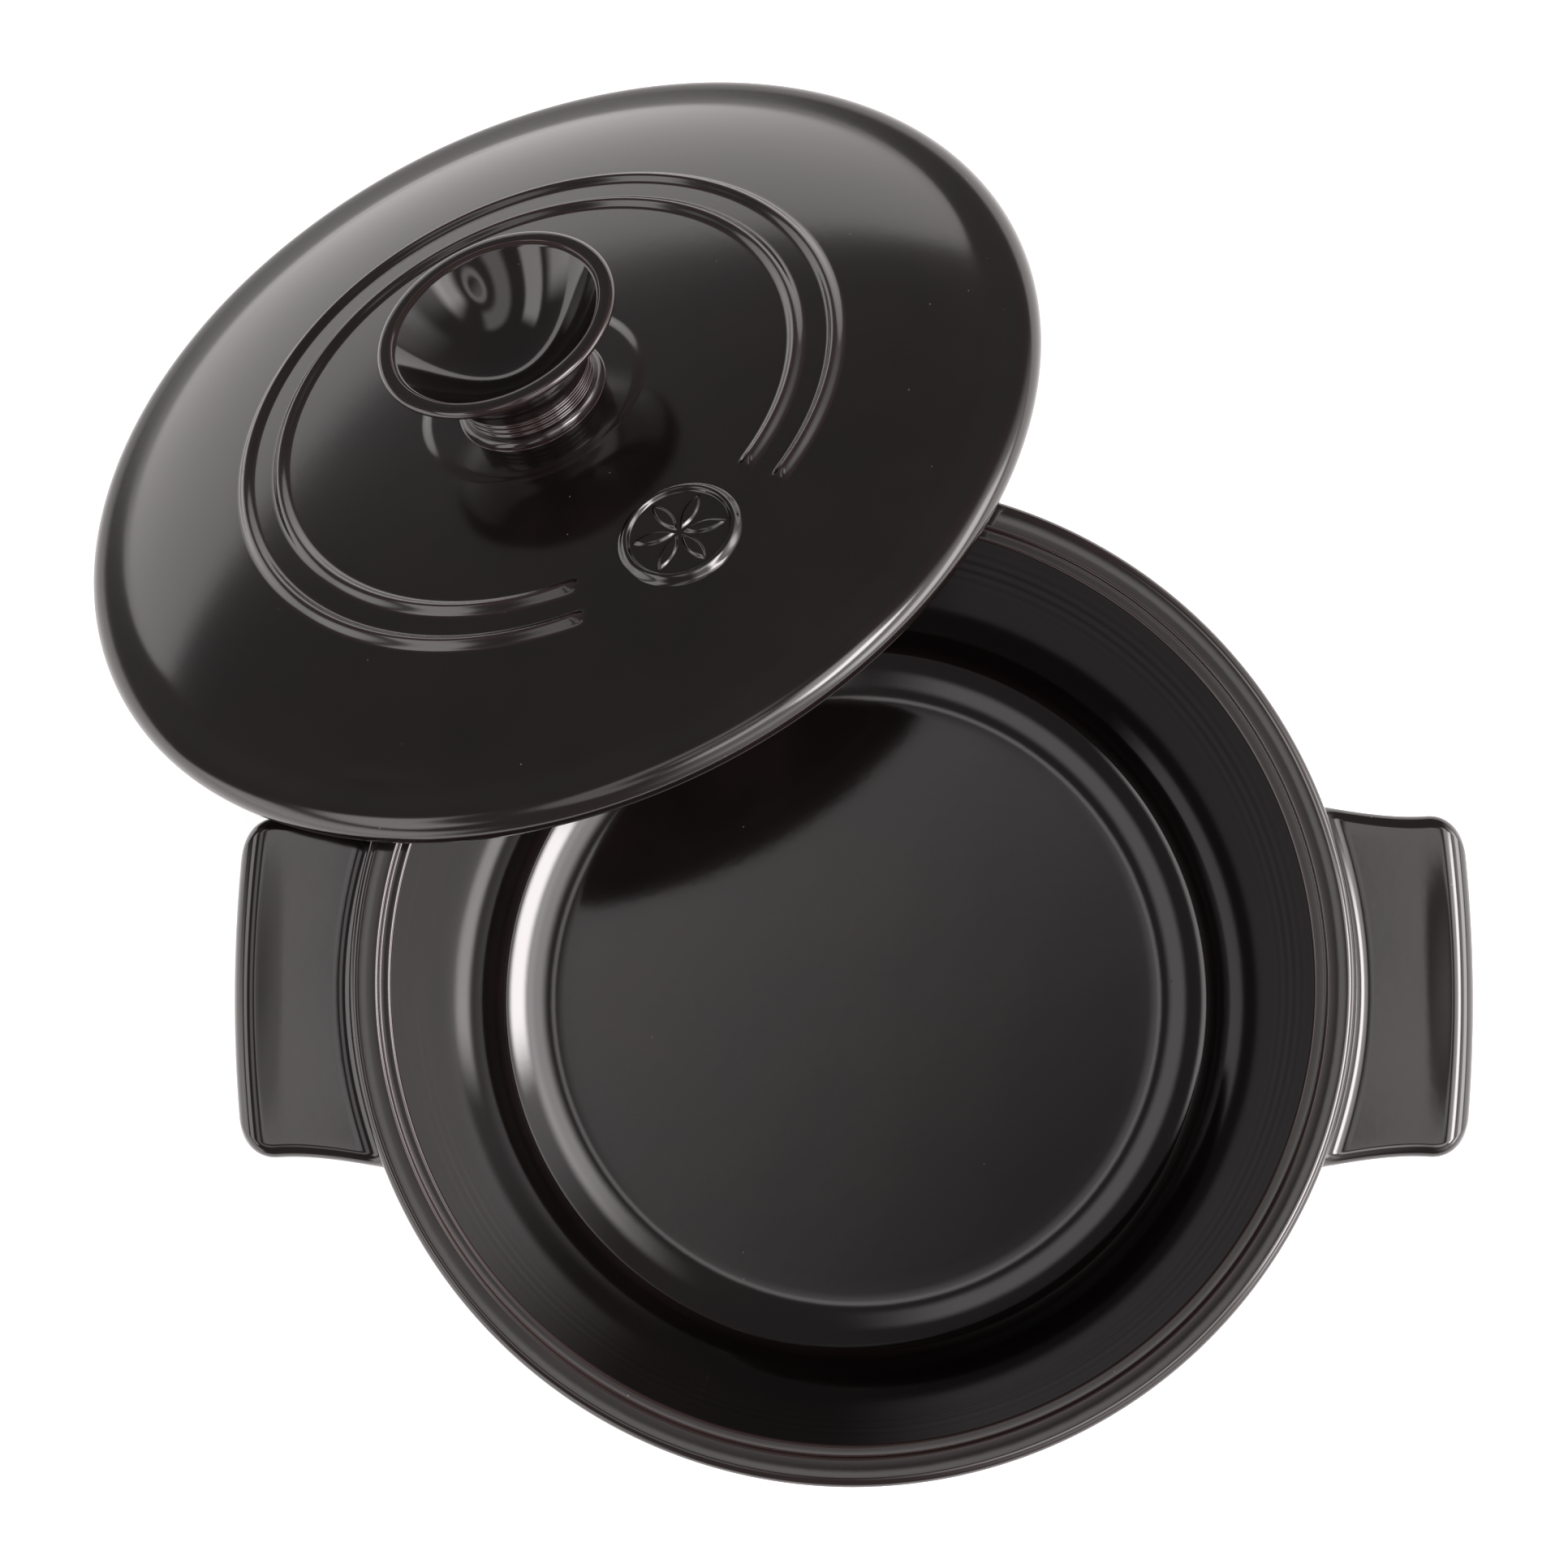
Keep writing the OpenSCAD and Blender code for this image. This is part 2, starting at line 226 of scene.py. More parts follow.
class LidSizes(PropertyGroup):
    """Sizes of the lid plate and the two moulded ridges."""

    overhang: length("Overhang", "How far the lid's edge reaches past the rim", 5)
    edge_t: length("Edge thickness", "Thickness of the lid's rounded edge", 10)
    brim: length("Brim", "Width of the brim outside the dome", 12)
    brim_rise: length("Foot rise", "Rise of the dome's foot above the brim", 0.2)
    rise: length("Rise", "Rise of the dome above the brim", 13)
    crown_t: length("Crown thickness", "Thickness of the crown over its ceiling", 9)
    dome_t: length("Dome thickness", "Thickness of the dome outside its ceiling", 7)
    flange_h: length("Flange depth", "Depth of the locating flange", 4)
    flange_t: length("Flange thickness", "Thickness of the locating flange", 4)
    corner_r: length("Corner radius", "Radius of the flange's small corners", 1)
    clearance: length("Clearance", "Gap between flange and mouth, on the radius", 1.5)
    crease: length("Crease", "Softness of the hollow where dome and brim meet", 0.5)
    ridge_inset: length("Ridge inset", "Outer ridge's distance inside the dome's foot", 37.4)
    ridge_pitch: length("Ridge pitch", "Distance between the two ridges", 10.2)
    ridge_w: length("Ridge width", "Width of each ridge", 5)
    ridge_h: length("Ridge height", "Height of each ridge", 1.6)
    gap_space: length("Gap space", "Space between the medallion and the ridges' ends", 15.5)
    gap_turn: angle("Gap turn", "Turn of the ridges' gap from the medallion", -1.5)
    tilt: angle("Tilt", "Tilt of the leaning lid", 39.8)
    lean: angle("Lean direction", "Direction that the lid leans towards, from +X", 118.4)
    lean_gap: length("Lean gap", "Gap left between the leaning lid and the rim", 0.3)


class MedallionSizes(PropertyGroup):
    """Sizes of the moulded medallion."""

    width: length("Diameter", "Outer diameter of the medallion", 30)
    thick: length("Thickness", "Thickness at the raised border", 3)
    border: length("Border", "Width of the raised border", 1.8)
    field_drop: length("Field drop", "Depth of the field below the border", 1.1)
    soft: length("Border slope", "Width of the slope from the field to the border", 1)
    foot_in: length("Foot start", "How far inside the edge the border starts down", 0.9)
    foot_w: length("Foot width", "Width of the border's outer slope", 2.2)
    foot_sink: length("Foot sink", "How far that slope ends below the dome", 0.06)
    inset: length("Inset", "Distance of its centre inside the outer ridge", 8.6)
    turn: angle("Turn", "Turn of the medallion from the lid's raised side", 12)
    petals: IntProperty(name="Petals", description="Petals in the rosette", default=6)
    petal_w: length("Petal width", "Width of each petal", 3.6)
    petal_space: length("Petal space", "Space round the petals", 1.2)
    petal_drop: length("Petal drop", "How far the petals stand below the border", 0.3)


class KnobSizes(PropertyGroup):
    """Sizes of the goblet-shaped knob."""

    width: length("Diameter", "Outer diameter of the lip", 64)
    height: length("Height", "Height of the knob above its boss", 27)
    stem_d: length("Stem diameter", "Diameter of the stem", 36)
    stem_h: length("Stem height", "Height of the straight stem", 8.6)
    foot: length("Foot spread", "How far the foot spreads beyond the stem", 2)
    lip: length("Lip width", "Width of the rounded lip", 4)
    cup: length("Cup depth", "Depth of the cup", 17)
    boss_h: length("Boss height", "Height of the low boss under the knob", 0.8)
    boss_margin: length("Boss margin", "Width of the boss beyond the foot", 9)
    boss_slope: length("Boss slope", "Width of the slope round the boss", 3)
    grooves: IntProperty(name="Grooves", description="Fine grooves round the stem", default=3)
    groove_depth: length("Groove depth", "Depth of each groove", 0.5)
    groove_w: length("Groove width", "Width of each groove", 1.2)
    flare: number("Flare", "Power of the height with which the knob widens to its lip", 1.6)
    lip_outer_r: length("Outer lip radius", "Radius of the lip's outer edge", 1.3)
    lip_inner_r: length("Inner lip radius", "Radius of the lip's inner edge", 0.4)


class Finish(PropertyGroup):
    """Colours of the fired surfaces and of the studio."""

    glaze: colour("Glaze", "Charcoal glaze where it lies thick", "#0b0808")
    glaze_thin: colour("Thin glaze", "Glaze where it breaks over an edge", "#2c211f")
    speck: colour("Speck", "Pale mineral specks in the glaze", "#5a5352")
    bare: colour("Bare stoneware", "Unglazed clay on the foot", "#a08b76")
    bare_dark: colour("Clay fleck", "Iron flecks in the clay", "#6b5444")
    table: colour("Table", "Opal white table top", "#dedddc")
    room: colour("Room light", "Slightly warm light of the studio", "#fff9fa")


class StudioSizes(PropertyGroup):
    """The camera and the table."""

    lens: number("Lens", "Focal length in millimetres", 121.12)
    distance: length("Distance", "Distance of the camera from its target", 1338.5)
    azimuth: angle("Azimuth", "Direction of the camera round the dish, from -Y", 14.48)
    elevation: angle("Elevation", "Height of the camera above the horizon", 85.0)
    target_x: length("Target X", "Point that the camera looks at, along X", -17.39)
    target_y: length("Target Y", "Point that the camera looks at, along Y", 50.98)
    target_z: length("Target Z", "Point that the camera looks at, along Z", 100)
    table: length("Table", "Half the width of the table", 1500)
    table_glow: number("Table glow", "Light that the opal table gives off by itself", 0.6)
    overhead_low: number("Overhead, low", "Radiance of the ceiling's middle at its dark side", 0.0)
    overhead: number("Overhead", "Radiance of the ceiling's middle at its bright side", 1.2)
    overhead_ring: number("Ceiling ring", "Radiance of the ceiling round that dark middle", 2.3)
    fill: number("Fill", "Radiance of the rest of the room", 0.25)


class Casserole(PropertyGroup):
    """Everything that can be set."""

    pot: PointerProperty(type=PotSizes)
    handle: PointerProperty(type=HandleSizes)
    lid: PointerProperty(type=LidSizes)
    medallion: PointerProperty(type=MedallionSizes)
    knob: PointerProperty(type=KnobSizes)
    finish: PointerProperty(type=Finish)
    studio: PointerProperty(type=StudioSizes)


# Curves and surfaces ------------------------------------------------------------------------


def arc(x, z, radius, start, end, count=12):
    """Points of an arc about (x, z) from angle start to angle end, in degrees."""
    turn = np.radians(np.linspace(start, end, count))
    return np.stack([x + radius * np.cos(turn), z + radius * np.sin(turn)], 1)


def outline(*spans, step):
    """The spans joined into one line, with points added so that none is further than step
    from the next, and points closer than a thousandth of a millimetre dropped."""
    line = np.concatenate([np.atleast_2d(np.asarray(s, float)) for s in spans])
    gaps = np.linalg.norm(np.diff(line, axis=0), axis=1)
    line = line[np.concatenate([[True], gaps > 0.001 * MM])]
    along = np.concatenate([[0], np.cumsum(np.linalg.norm(np.diff(line, axis=0), axis=1))])
    parts = np.maximum(np.ceil(np.diff(along) / step).astype(int), 1)
    share = np.concatenate([np.arange(n) / n for n in parts])
    start, span = np.repeat(along[:-1], parts), np.repeat(np.diff(along), parts)
    at = np.concatenate([start + share * span, along[-1:]])
    return np.stack([np.interp(at, along, line[:, 0]), np.interp(at, along, line[:, 1])], 1)


def even_turns(count):
    """Angles of a full turn, evenly spaced."""
    return np.arange(count) * 2 * np.pi / count


def revolve(profile, turns):
    """Rings of points: every profile point (radius, height) carried round the Z axis."""
    radius, height = profile[:, :1], profile[:, 1:]
    flat = np.broadcast_to(height, (len(profile), len(turns)))
    return np.stack([radius * np.cos(turns), radius * np.sin(turns), flat], 2)


def smooth_step(x):
    """0 below 0, 1 above 1, and 3x^2 - 2x^3 between."""
    x = np.clip(x, 0, 1)
    return x * x * (3 - 2 * x)


def soft_max(a, b, softness):
    """The greater of a and b, with the corner between them rounded over softness."""
    return (a + b + np.sqrt((a - b) ** 2 + softness**2)) / 2


def bell(x, width):
    """A raised cosine: 1 at 0 and 0 from half the width outwards."""
    return np.where(np.abs(x) < width / 2, (1 + np.cos(2 * np.pi * x / width)) / 2, 0)


def closed_skin(name, rings):
    """A closed mesh over rings of points, shaped (rings, points, 3). Neighbouring rings are
    joined by quads; the first and last rings have shrunk to a point each and become one
    vertex with a fan of triangles. Faces point outwards: the signed volume is made positive."""
    points = np.concatenate([rings[0, :1], rings[1:-1].reshape(-1, 3), rings[-1, :1]])
    if not np.isfinite(points).all():
        raise ValueError(f"{name} can't be made: its sizes don't fit together")
    body = 1 + np.arange((len(rings) - 2) * rings.shape[1]).reshape(-1, rings.shape[1])
    after = np.roll(body, -1, axis=1)
    quads = np.stack([body[:-1], after[:-1], after[1:], body[1:]], 2).reshape(-1, 4)
    first = np.zeros_like(body[0])
    last = np.full_like(body[0], len(points) - 1)
    fans = np.concatenate([
        np.stack([first, after[0], body[0]], 1),
        np.stack([last, body[-1], after[-1]], 1),
    ])
    corners = np.concatenate([quads[:, :3], quads[:, [0, 2, 3]], fans])
    a, b, c = (points[corners[:, i]] for i in range(3))
    if np.einsum("ij,ij->", a, np.cross(b, c)) < 0:
        quads, fans = quads[:, ::-1], fans[:, ::-1]
    mesh = bpy.data.meshes.new(name)
    mesh.from_pydata(points.tolist(), [], quads.tolist() + fans.tolist())
    mesh.shade_smooth()
    mesh.validate()
    piece = bpy.data.objects.new(name, mesh)
    bpy.context.scene.collection.objects.link(piece)
    return piece


def point_value(piece, name, values):
    """Keeps one number per vertex in the named attribute."""
    attribute = piece.data.attributes.new(name, "FLOAT", "POINT")
    attribute.data.foreach_set("value", np.asarray(values, np.float32).ravel())


def to_vertices(ring_values):
    """Per-ring-point values in the order of closed_skin's vertices."""
    return np.concatenate([ring_values[0, :1], ring_values[1:-1].ravel(), ring_values[-1, :1]])


def thinning(rings):
    """How sharply the surface turns at each ring point, 0 to 1: the angle between the steps to
    the neighbouring rings, over their length, times the radius at which glaze is thinnest."""
    step = np.diff(rings, axis=0)
    size = np.linalg.norm(step, axis=2, keepdims=True)
    way = step / np.maximum(size, 1e-9)
    bend = np.linalg.norm(np.diff(way, axis=0), axis=2)
    reach = (size[1:, :, 0] + size[:-1, :, 0]) / 2
    value = np.zeros(rings.shape[:2])
    value[1:-1] = np.clip(bend / np.maximum(reach, 0.001 * MM) * THINNEST_RADIUS, 0, 1)
    return value


def even_coat(piece):
    """No thinning anywhere, on a piece whose edges are too round or too small for it."""
    return np.zeros(len(piece.data.vertices))


def hand_in(piece, body, nodes, materials):
    """The finished piece rides on its body and stands for its CAD nodes."""
    for material in materials:
        piece.data.materials.append(material)
    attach(piece, body)
    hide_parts(*nodes)
    return piece


# Derived shapes -----------------------------------------------------------------------------


def rim_radii(pot):
    """Radii of the rim from the outside in: edge, flat top's two sides, and mouth."""
    edge = pot.rim_d / 2
    flat_out = edge - pot.lip_r
    flat_in = flat_out - pot.rim_flat
    mouth = flat_in - pot.corner_r - pot.ledge
    return edge, flat_out, flat_in, mouth


def wall_radius(pot):
    """Outer radius of the wall at its neck, just under the lip."""
    return rim_radii(pot)[3] + pot.wall


def pot_profile(pot):
    """Half section of the pot from the middle of the base, out round the heel, up the wall,
    over the rolled lip and the seat ledge, down the inner wall, round the corner and over the
    floor's rise to its middle. Arcs end where the straight wall touches them."""
    edge, flat_out, flat_in, mouth = rim_radii(pot)
    neck = mouth + pot.wall
    shoulder = pot.height - 2 * pot.lip_r
    neck_z = shoulder - pot.lip_under
    sine, cosine, tangent = math.sin(pot.slope), math.cos(pot.slope), math.tan(pot.slope)
    heel = neck - (neck_z - pot.heel_r * (1 - sine)) * tangent - pot.heel_r * cosine
    recess = heel - pot.foot_w
    tiny = pot.corner_r
    ledge_z = pot.height - pot.ledge_drop
    mouth_z = ledge_z - tiny
    turn = math.degrees(pot.rise_slope)
    rise_cosine = math.cos(pot.rise_slope)
    well_z = pot.floor + pot.rise_r * (1 - rise_cosine) + pot.well_r * rise_cosine
    wall_foot = well_z - pot.well_r * sine
    well = mouth - (mouth_z - wall_foot) * tangent - pot.well_r * cosine
    flat = well + (pot.well_r - pot.rise_r) * math.sin(pot.rise_slope)
    lip_slope = math.degrees(math.atan2(edge - neck, pot.lip_under))
    height = np.linspace(mouth_z, mouth_z - RING_COUNT * pot.ring_pitch, RING_COUNT * RING_POINTS)
    fade = bell(height - height.mean(), height[0] - height[-1])
    rings = pot.ring_depth * fade * np.sin(2 * np.pi * (mouth_z - height) / pot.ring_pitch)
    return outline(
        [[0, pot.foot_recess], [recess - pot.foot_slope, pot.foot_recess]],
        [[recess, 0], [heel, 0]],
        arc(heel, pot.heel_r, pot.heel_r, -90, -math.degrees(pot.slope), 22),
        [[neck, neck_z]],
        arc(flat_out, pot.height - pot.lip_r, pot.lip_r, -lip_slope, 90, 18),
        arc(flat_in, pot.height - tiny, tiny, 90, 180, 8),
        [[flat_in - tiny, ledge_z + tiny / 2]],
        arc(flat_in - 1.5 * tiny, ledge_z + tiny / 2, tiny / 2, 0, -90, 5),
        arc(mouth + tiny, mouth_z, tiny, 90, 180, 8),
        np.stack([mouth - (mouth_z - height) * tangent + rings, height], 1),
        arc(well, well_z, pot.well_r, -math.degrees(pot.slope), turn - 90, 22),
        arc(flat, pot.floor + pot.rise_r, pot.rise_r, turn - 90, -90, 18),
        [[0, pot.floor]],
        step=POT_STEP,
    )


def lid_levels(lid, pot):
    """Radii and heights of the lid in its own frame, whose z = 0 is the middle of its edge."""
    edge_r = lid.edge_t / 2
    outer = pot.rim_d / 2 + lid.overhang
    dome_r = outer - lid.brim
    dome_z = edge_r + lid.brim_rise
    crown = dome_z + lid.rise
    flange_out = rim_radii(pot)[3] - lid.clearance
    return {
        "edge_r": edge_r,
        "edge_c": outer - edge_r,
        "dome_r": dome_r,
        "dome_z": dome_z,
        "crown": crown,
        "ceiling": crown - lid.crown_t,
        "flange_out": flange_out,
        "flange_in": flange_out - lid.flange_t,
        "flange_z": -edge_r - lid.flange_h,
        "ridge_r": dome_r - lid.ridge_inset,
    }


def dome_top(lid, level, radius):
    """Height of the dome: flat in the middle and steeper towards the brim, as the fourth
    power of the radius, and meeting the flat brim in a soft hollow."""
    dome = level["dome_z"] + lid.rise * (1 - (radius / level["dome_r"]) ** 4)
    return soft_max(dome, level["edge_r"], lid.crease)


def lean_matrix(lid, pot, level):
    """Places the lid's own frame: tilted, its edge on the table and its ceiling on the rim."""
    flat_out = rim_radii(pot)[1]
    sine, cosine = math.sin(lid.tilt), math.cos(lid.tilt)
    up = level["edge_c"] * sine + level["edge_r"]
    reach = flat_out * sine + (pot.height - pot.lip_r) * cosine + pot.lip_r + lid.lean_gap
    out = (reach - level["ceiling"] - up * cosine) / sine
    turn = Matrix.Rotation(lid.lean, 4, "Z")
    return turn @ Matrix.Translation((out, 0, up)) @ Matrix.Rotation(lid.tilt, 4, "Y")


def placed(points, matrix):
    """Points moved by a 4 x 4 matrix."""
    m = np.array(matrix)
    return points @ m[:3, :3].T + m[:3, 3]


def medallion_place(all_sizes, level):
    """Azimuth, radius and slope of the medallion on the dome."""
    azimuth = math.pi + all_sizes.medallion.turn
    radius = level["ridge_r"] - all_sizes.medallion.inset
    slope = math.atan(4 * all_sizes.lid.rise / level["dome_r"] * (radius / level["dome_r"]) ** 3)
    return azimuth, radius, slope


# Materials ----------------------------------------------------------------------------------


def add_node(tree, kind, links=(), inputs=None, **settings):
    """Adds a node with its settings and links. A setting is one of its inputs, with _ for the
    space in its name, or else a property; inputs sets inputs by their number."""
    node = tree.nodes.new(kind)
    for key, value in settings.items():
        label = key.replace("_", " ")
        if label in node.inputs:
            node.inputs[label].default_value = value
        else:
            setattr(node, key, value)
    for index, value in (inputs or {}).items():
        node.inputs[index].default_value = value
    for source, target in links:
        tree.links.new(source, node.inputs[target])
    return node


def noise(tree, place, millimetres, detail):
    """Noise whose patches are about that many millimetres across."""
    return add_node(
        tree, "ShaderNodeTexNoise", [(place, "Vector")], Scale=1 / (millimetres * MM), Detail=detail
    ).outputs["Fac"]


def opal_acrylic(colours, glow):
    """Cast opal acrylic sheet, lit from below.

    To the eye it is an even soft white, whose own light washes out the shadows on it."""
    material = bpy.data.materials.new("opal_acrylic")
    material.use_nodes = True
    tree = material.node_tree
    tree.nodes.clear()
    surface = add_node(
        tree, "ShaderNodeBsdfPrincipled",
        Base_Color=(*colours.table, 1), Roughness=0.6,
        Emission_Color=(1, 1, 1, 1), Emission_Strength=glow,
    )
    add_node(tree, "ShaderNodeOutputMaterial", [(surface.outputs[0], "Surface")])
    return material


def glazed_stoneware(name, colours, roughness, wave, peel, grain):
    """Fired stoneware under a poured gloss glaze.

    To the eye it is a deep warm black with clean reflections. The glaze pulls thin and browner
    on sharp edges, undulates a little over centimetres, has an orange peel of 3 mm and a
    grain of 0.3 mm that breaks up the edges of reflections, and a few pale specks and pinholes.
    Wave, peel and grain are their heights in millimetres. The material is made once."""
    if name in bpy.data.materials:
        return bpy.data.materials[name]
    material = bpy.data.materials.new(name)
    material.use_nodes = True
    tree = material.node_tree
    tree.nodes.clear()
    place = add_node(tree, "ShaderNodeTexCoord").outputs["Object"]
    edge = add_node(tree, "ShaderNodeAttribute", attribute_name="thin").outputs["Fac"]
    cloud = add_node(
        tree, "ShaderNodeMapRange", [(noise(tree, place, CLOUD_ACROSS, 4), "Value")],
        From_Min=0.35, From_Max=0.8, To_Max=0.12,
    ).outputs["Result"]
    thin = add_node(
        tree, "ShaderNodeMath", [(cloud, 0), (edge, 1)], operation="ADD", use_clamp=True
    ).outputs[0]
    cells = add_node(
        tree, "ShaderNodeTexVoronoi", [(place, "Vector")], feature="F1", Scale=1 / (SPECK_SPACE * MM)
    )
    dot = add_node(
        tree, "ShaderNodeMapRange", [(cells.outputs["Distance"], "Value")],
        From_Min=SPECK_RADIUS / SPECK_SPACE, From_Max=1.6 * SPECK_RADIUS / SPECK_SPACE,
        To_Min=1.0, To_Max=0.0,
    ).outputs["Result"]
    draw = add_node(tree, "ShaderNodeSeparateColor", [(cells.outputs["Color"], "Color")])
    speck = in_some_cells(tree, dot, draw.outputs["Red"], SPECK_SHARE)
    pinhole = in_some_cells(tree, dot, draw.outputs["Green"], PINHOLE_SHARE)
    body = mixed_colour(tree, thin, colours.glaze, colours.glaze_thin)
    tinted = add_node(
        tree, "ShaderNodeMix", [(speck, "Factor"), (body, 6)], data_type="RGBA",
        inputs={7: (*colours.speck, 1)},
    ).outputs[2]
    layers = (
        (noise(tree, place, WAVE_ACROSS, 1), wave),
        (noise(tree, place, PEEL_ACROSS, 1), peel),
        (noise(tree, place, GRAIN_ACROSS, 2), grain),
        (pinhole, -PINHOLE_DEPTH),
    )
    normal = None
    for height, distance in layers:
        links = [(height, "Height")] + ([(normal, "Normal")] if normal else [])
        bump = add_node(tree, "ShaderNodeBump", links, Strength=1.0, Distance=distance * MM)
        normal = bump.outputs[0]
    surface = add_node(
        tree, "ShaderNodeBsdfPrincipled", [(tinted, "Base Color"), (normal, "Normal")],
        Roughness=roughness, IOR=1.5,
    )
    add_node(tree, "ShaderNodeOutputMaterial", [(surface.outputs[0], "Surface")])
    return material


def in_some_cells(tree, dot, draw, share):
    """The dot, in only that share of the cells: those whose random draw is the highest."""
    chosen = add_node(
        tree, "ShaderNodeMath", [(draw, 0)], operation="GREATER_THAN", inputs={1: 1 - share}
    )
    return add_node(
        tree, "ShaderNodeMath", [(dot, 0), (chosen.outputs[0], 1)], operation="MULTIPLY"
    ).outputs[0]


def mixed_colour(tree, factor, first, second):
    """The first colour where the factor is 0 and the second where it is 1."""
    return add_node(
        tree, "ShaderNodeMix", [(factor, "Factor")], data_type="RGBA",
        inputs={6: (*first, 1), 7: (*second, 1)},
    ).outputs[2]


def bare_stoneware(colours):
    """Unglazed fired stoneware, wiped clean of glaze on the foot before firing.

    To the eye it is a matt buff clay with darker iron flecks of 2 mm and a gritty tooth."""
    material = bpy.data.materials.new("bare_stoneware")
    material.use_nodes = True
    tree = material.node_tree
    tree.nodes.clear()
    place = add_node(tree, "ShaderNodeTexCoord").outputs["Object"]
    share = add_node(
        tree, "ShaderNodeMapRange", [(noise(tree, place, 2.2, 3), "Value")],
        From_Min=0.58, From_Max=0.7,
    ).outputs["Result"]
    clay = mixed_colour(tree, share, colours.bare, colours.bare_dark)
    grit = add_node(
        tree, "ShaderNodeBump", [(noise(tree, place, 0.7, 3), "Height")],
        Strength=1.0, Distance=0.08 * MM,
    )
    surface = add_node(
        tree, "ShaderNodeBsdfPrincipled", [(clay, "Base Color"), (grit.outputs[0], "Normal")],
        Roughness=0.85, IOR=1.5,
    )
    add_node(tree, "ShaderNodeOutputMaterial", [(surface.outputs[0], "Surface")])
    return material


def pot_glaze(colours):
    """Thick, clean glaze of the pot and the knob, which mirrors the room sharply."""
    return glazed_stoneware(
        "glazed_stoneware_pot", colours, roughness=0.08, wave=0.03, peel=0.004, grain=0.0003
    )


def lid_glaze(colours):
    """Slightly grained glaze of the lid, which blurs its reflections a little."""
    return glazed_stoneware(
        "glazed_stoneware_lid", colours, roughness=0.14, wave=0.02, peel=0.004, grain=0.0008
    )


# Operators ----------------------------------------------------------------------------------


class CASSEROLE_OT_stage(Operator):
    """Make the camera, the pale table and the soft lights"""

    bl_idname = "casserole.stage"
    bl_label = "Camera and studio"

    def execute(self, context):
        sizes = context.scene.casserole
        self.camera(context, sizes.studio)
        self.table(context, sizes)
        self.room(context, sizes)
        return {"FINISHED"}

    def camera(self, context, studio):
        """A long lens above the dish, tipped a little, with +Y up in its view."""
        target = Vector((studio.target_x, studio.target_y, studio.target_z))
        back = Vector((
            math.sin(studio.azimuth) * math.cos(studio.elevation),
            -math.cos(studio.azimuth) * math.cos(studio.elevation),
            math.sin(studio.elevation),
        ))
        right = Vector((0, 1, 0)).cross(back).normalized()
        up = back.cross(right)
        basis = Matrix((right, up, back)).transposed().to_4x4()
        data = bpy.data.cameras.new("camera")
        data.lens = studio.lens
        data.sensor_width = FILM_WIDTH
        data.clip_end = FAR
        camera = bpy.data.objects.new("camera", data)
        camera.matrix_world = Matrix.Translation(target + back * studio.distance) @ basis
        context.scene.collection.objects.link(camera)
        context.scene.camera = camera

    def table(self, context, sizes):
        """A square sheet under the dish."""
        half = sizes.studio.table
        corners = [(-half, -half, 0), (half, -half, 0), (half, half, 0), (-half, half, 0)]
        mesh = bpy.data.meshes.new("table")
        mesh.from_pydata(corners, [], [(0, 1, 2, 3)])
        mesh.materials.append(opal_acrylic(sizes.finish, sizes.studio.table_glow))
        table = bpy.data.objects.new("table", mesh)
        context.scene.collection.objects.link(table)

    def room(self, context, sizes):
        """Light from all round: softboxes, a ceiling whose middle is dark, and a little fill.
        What the camera itself sees past the table is plain white."""
        world = bpy.data.worlds.new("room")
        context.scene.world = world
        world.use_nodes = True
        tree = world.node_tree
        tree.nodes.clear()
        way = add_node(tree, "ShaderNodeTexCoord").outputs["Generated"]
        height = add_node(tree, "ShaderNodeSeparateXYZ", [(way, "Vector")]).outputs["Z"]
        elevation = add_node(tree, "ShaderNodeMath", [(height, 0)], operation="ARCSINE").outputs[0]
        light = self.ceiling(tree, way, sizes.studio)
        for softbox in SOFTBOXES:
            glow = self.softbox(tree, way, elevation, softbox)
            light = add_node(
                tree, "ShaderNodeMath", [(light, 0), (glow, 1)], operation="ADD"
            ).outputs[0]
        seen = add_node(tree, "ShaderNodeLightPath").outputs["Is Camera Ray"]
        strength = add_node(tree, "ShaderNodeMix", [(seen, "Factor"), (light, "A")], B=1.0)
        backdrop = add_node(
            tree, "ShaderNodeBackground", [(strength.outputs["Result"], "Strength")],
            Color=(*sizes.finish.room, 1),
        )
        add_node(tree, "ShaderNodeOutputWorld", [(backdrop.outputs[0], "Surface")])

    def ceiling(self, tree, way, studio):
        """Radiance overhead. Its middle grows evenly brighter to one side, a ring round that is
        bright, and the rest has only the fill, with smooth steps between."""
        side = add_node(
            tree, "ShaderNodeVectorMath", [(way, 0)], operation="DOT_PRODUCT",
            inputs={1: BRIGHTER_WAY},
        )
        middle = add_node(
            tree, "ShaderNodeMapRange", [(side.outputs["Value"], "Value")],
            From_Min=MIDDLE_TILT[0], From_Max=MIDDLE_TILT[1],
            To_Min=studio.overhead_low, To_Max=studio.overhead,
        )
        off = add_node(
            tree, "ShaderNodeVectorMath", [(way, 0)], operation="DISTANCE",
            inputs={1: Vector(DARK_MIDDLE).normalized()},
        )
        inner = add_node(
            tree, "ShaderNodeMapRange",
            [(off.outputs["Value"], "Value"), (middle.outputs[0], "To Min")],
            interpolation_type="SMOOTHSTEP", From_Min=DARK_EDGE[0], From_Max=DARK_EDGE[1],
            To_Max=studio.overhead_ring,
        )
        share = add_node(
            tree, "ShaderNodeMapRange", [(off.outputs["Value"], "Value")],
            interpolation_type="SMOOTHSTEP", From_Min=RING_EDGE[0], From_Max=RING_EDGE[1],
            To_Min=1.0, To_Max=0.0,
        )
        return add_node(
            tree, "ShaderNodeMath", [(inner.outputs[0], 0), (share.outputs[0], 1)],
            operation="MULTIPLY_ADD", inputs={2: studio.fill},
        ).outputs[0]

